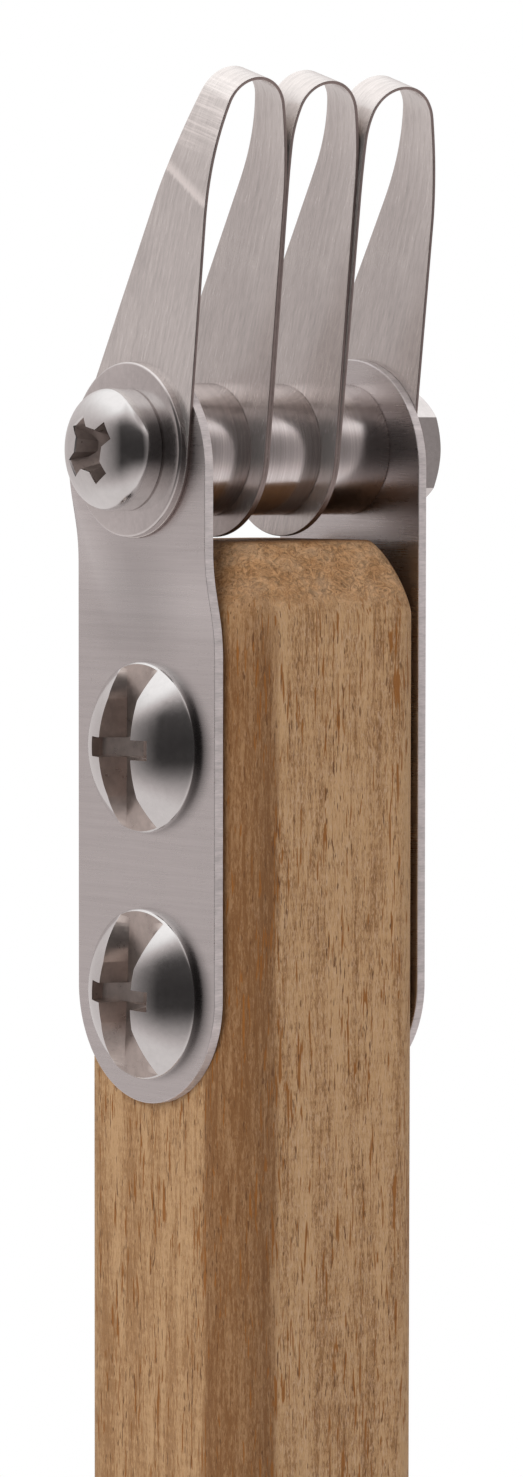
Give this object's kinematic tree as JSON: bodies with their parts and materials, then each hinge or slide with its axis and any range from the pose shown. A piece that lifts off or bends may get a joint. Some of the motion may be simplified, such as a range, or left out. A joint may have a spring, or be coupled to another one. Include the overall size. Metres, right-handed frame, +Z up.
{
  "type": "triple-loop clay carving tool",
  "caption": "Clay carving tool: square wooden handle with two steel side plates that clamp a row of U-shaped steel cutting loops on a cross screw, each loop set to its own angle.",
  "frame": {"origin": "centre of the handle's flat butt end", "axes": "+Z up the handle to the cutting loops, +X along the clamp screw from its head to its nut, -Y the side that the loops lean to"},
  "size_m": [0.0317, 0.0201, 0.1852],
  "materials": {
    "handle_wood": "bare sanded open-pored hardwood",
    "plate_steel": "satin stainless sheet, faintly brushed across",
    "loop_steel": "spring strip, brushed along its length",
    "turned_steel": "turned, fine rings round the axis",
    "screw_steel": "polished stainless screw heads, washer and nut"
  },
  "bodies": {
    "handle_and_plates": {"handle": "handle_wood", "left_side_plate": "plate_steel", "right_side_plate": "plate_steel", "left_spacer": "turned_steel", "middle_spacer": "turned_steel", "right_spacer": "turned_steel", "clamp_washer": "screw_steel", "clamp_nut": "screw_steel", "upper_handle_screw": "screw_steel", "lower_handle_screw": "screw_steel", "upper_barrel_nut": "screw_steel", "lower_barrel_nut": "screw_steel"},
    "clamp_screw": {"clamp_screw": "screw_steel"},
    "left_loop": {"left_cutting_loop": "loop_steel"},
    "middle_loop": {"middle_cutting_loop": "loop_steel"},
    "right_loop": {"right_cutting_loop": "loop_steel"}
  },
  "joints": [
    {"name": "clamp_screw_turn", "type": "hinge", "parent": "handle_and_plates", "child": "clamp_screw", "pos_m": [0, 0, 0.1569], "axis": [1, 0, 0], "range_deg": [-180, 0]},
    {"name": "left_loop_swing", "type": "hinge", "parent": "handle_and_plates", "child": "left_loop", "pos_m": [-0.00771, 0, 0.1569], "axis": [1, 0, 0], "range_deg": [-107.7, 72.3]},
    {"name": "middle_loop_swing", "type": "hinge", "parent": "handle_and_plates", "child": "middle_loop", "pos_m": [-0.00047, 0, 0.1569], "axis": [1, 0, 0], "range_deg": [-107.6, 72.4]},
    {"name": "right_loop_swing", "type": "hinge", "parent": "handle_and_plates", "child": "right_loop", "pos_m": [0.00677, 0, 0.1569], "axis": [1, 0, 0], "range_deg": [-108.4, 71.6]}
  ]
}
